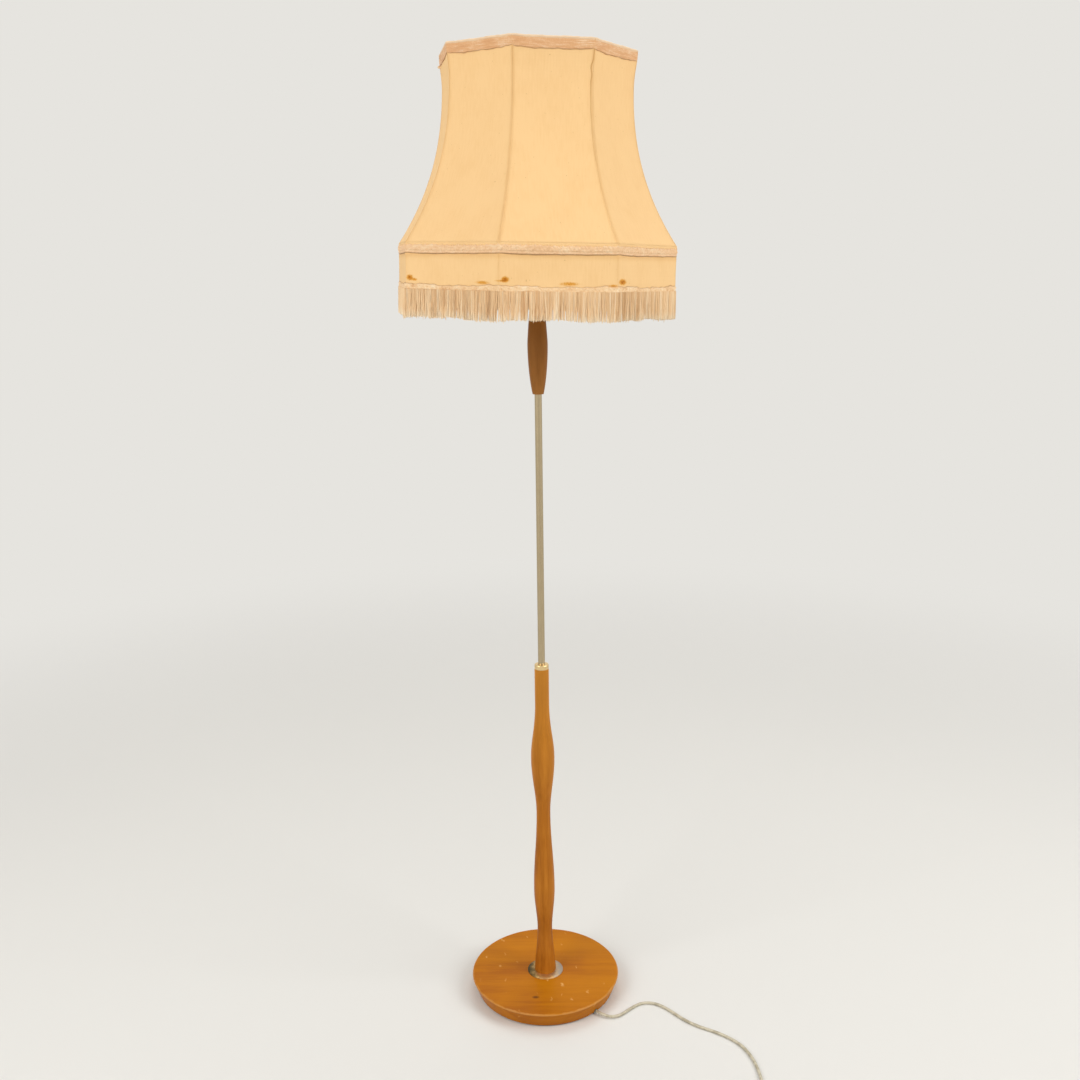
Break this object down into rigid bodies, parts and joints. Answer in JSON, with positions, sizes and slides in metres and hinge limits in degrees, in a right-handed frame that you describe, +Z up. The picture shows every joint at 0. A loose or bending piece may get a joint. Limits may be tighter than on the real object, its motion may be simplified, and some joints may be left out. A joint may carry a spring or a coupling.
{
  "type": "candlestick floor lamp",
  "caption": "Floor lamp with a round turned-wood base, turned column, thin metal tube and a fringed eight-sided fabric shade on a wire carrier over a bayonet lampholder.",
  "frame": {"origin": "centre of the base's underside, on the floor", "axes": "+Z up along the column; -Y towards the front, +X to the right of a viewer in front"},
  "size_m": [0.6078, 0.6527, 1.628],
  "materials": {
    "base_wood": "turned hardwood, golden brown varnish, worn rim",
    "column_wood": "turned hardwood, orange brown varnish",
    "spindle_wood": "turned hardwood, dark stain and varnish",
    "iron_weight": "sand cast, rough",
    "felt": "green felt",
    "steel_fixings": "plain steel",
    "spring_steel": "spring wire",
    "rubber": "moulded rubber",
    "flex_cover": "pale translucent cable sheath, slightly dirty",
    "polished_brass": "polished brass, a little tarnished",
    "satin_tube": "satin pale brass tube",
    "holder_brass": "spun and pressed brass",
    "contact_brass": "plain brass",
    "insulation": "moulded phenolic resin",
    "core_insulation": "cable core insulation",
    "bulb_glass": "pearl glass",
    "bulb_metal": "pressed aluminium",
    "carrier_wire": "brass plated wire",
    "frame_wire": "white painted wire",
    "shade_fabric": "apricot satin weave, slightly translucent",
    "lining_fabric": "cream lining",
    "trim_braid": "woven braid trim, apricot",
    "fringe_yarn": "hanging cut fringe, apricot",
    "tie_plastic": "plain tie band",
    "plug_plastic": "moulded plastic, off white",
    "plug_brass": "plug pins"
  },
  "bodies": {
    "stand": {"ballast_screws": "steel_fixings", "base_ballast": "iron_weight", "base_disc": "base_wood", "base_felt": "felt", "base_nut": "steel_fixings", "base_washer": "steel_fixings", "carrier_arms": "carrier_wire", "carrier_foot": "carrier_wire", "carrier_hoop": "carrier_wire", "coil_tie": "tie_plastic", "column_ferrule": "polished_brass", "contact_springs": "spring_steel", "cord_bush": "rubber", "cord_coil": "flex_cover", "cord_tail": "flex_cover", "cover_tube": "satin_tube", "flex_cores": "core_insulation", "foot_plate": "polished_brass", "holder_cap": "holder_brass", "holder_insulator": "insulation", "holder_sleeve": "holder_brass", "lamp_flex": "flex_cover", "lock_nut": "polished_brass", "lower_column": "column_wood", "mains_cord": "flex_cover", "plug_body": "plug_plastic", "plug_pins": "plug_brass", "shade_ring": "holder_brass", "spindle_cap": "polished_brass", "switch_housing": "holder_brass", "terminals": "contact_brass", "tie_tube": "steel_fixings", "upper_spindle": "spindle_wood"},
    "shade": {"flare_trim": "trim_braid", "frame_flare_ring": "frame_wire", "frame_hem_ring": "frame_wire", "frame_top_ring": "frame_wire", "frame_uprights": "frame_wire", "fringe_heading": "trim_braid", "shade_collar": "shade_fabric", "shade_fitting_arms": "frame_wire", "shade_fitting_ring": "frame_wire", "shade_fringe": "fringe_yarn", "shade_lining": "lining_fabric", "shade_panel_1": "shade_fabric", "shade_panel_2": "shade_fabric", "shade_panel_3": "shade_fabric", "shade_panel_4": "shade_fabric", "shade_panel_5": "shade_fabric", "shade_panel_6": "shade_fabric", "shade_panel_7": "shade_fabric", "shade_panel_8": "shade_fabric", "top_trim": "trim_braid"},
    "bulb": {"bulb_glass": "bulb_glass", "bulb_cap": "bulb_metal", "bulb_base": "insulation", "bulb_contacts": "bulb_metal", "contact_plungers": "contact_brass"},
    "switch": {"switch_bar": "insulation"}
  },
  "joints": [
    {"name": "shade_turn", "type": "hinge", "parent": "stand", "child": "shade", "pos_m": [0.0028, 0, 1.5669], "axis": [0.0262, 0, 0.9997], "continuous": true},
    {"name": "bulb_press", "type": "slide", "parent": "stand", "child": "bulb", "axis": [0, 0, 1], "range_m": [-0.002, 0], "stiffness_N_per_m": 2000, "springref_m": 0.004, "deforming": ["contact_springs"]},
    {"name": "switch_push", "type": "slide", "parent": "stand", "child": "switch", "axis": [1, 0, 0], "range_m": [-0.006, 0]}
  ]
}
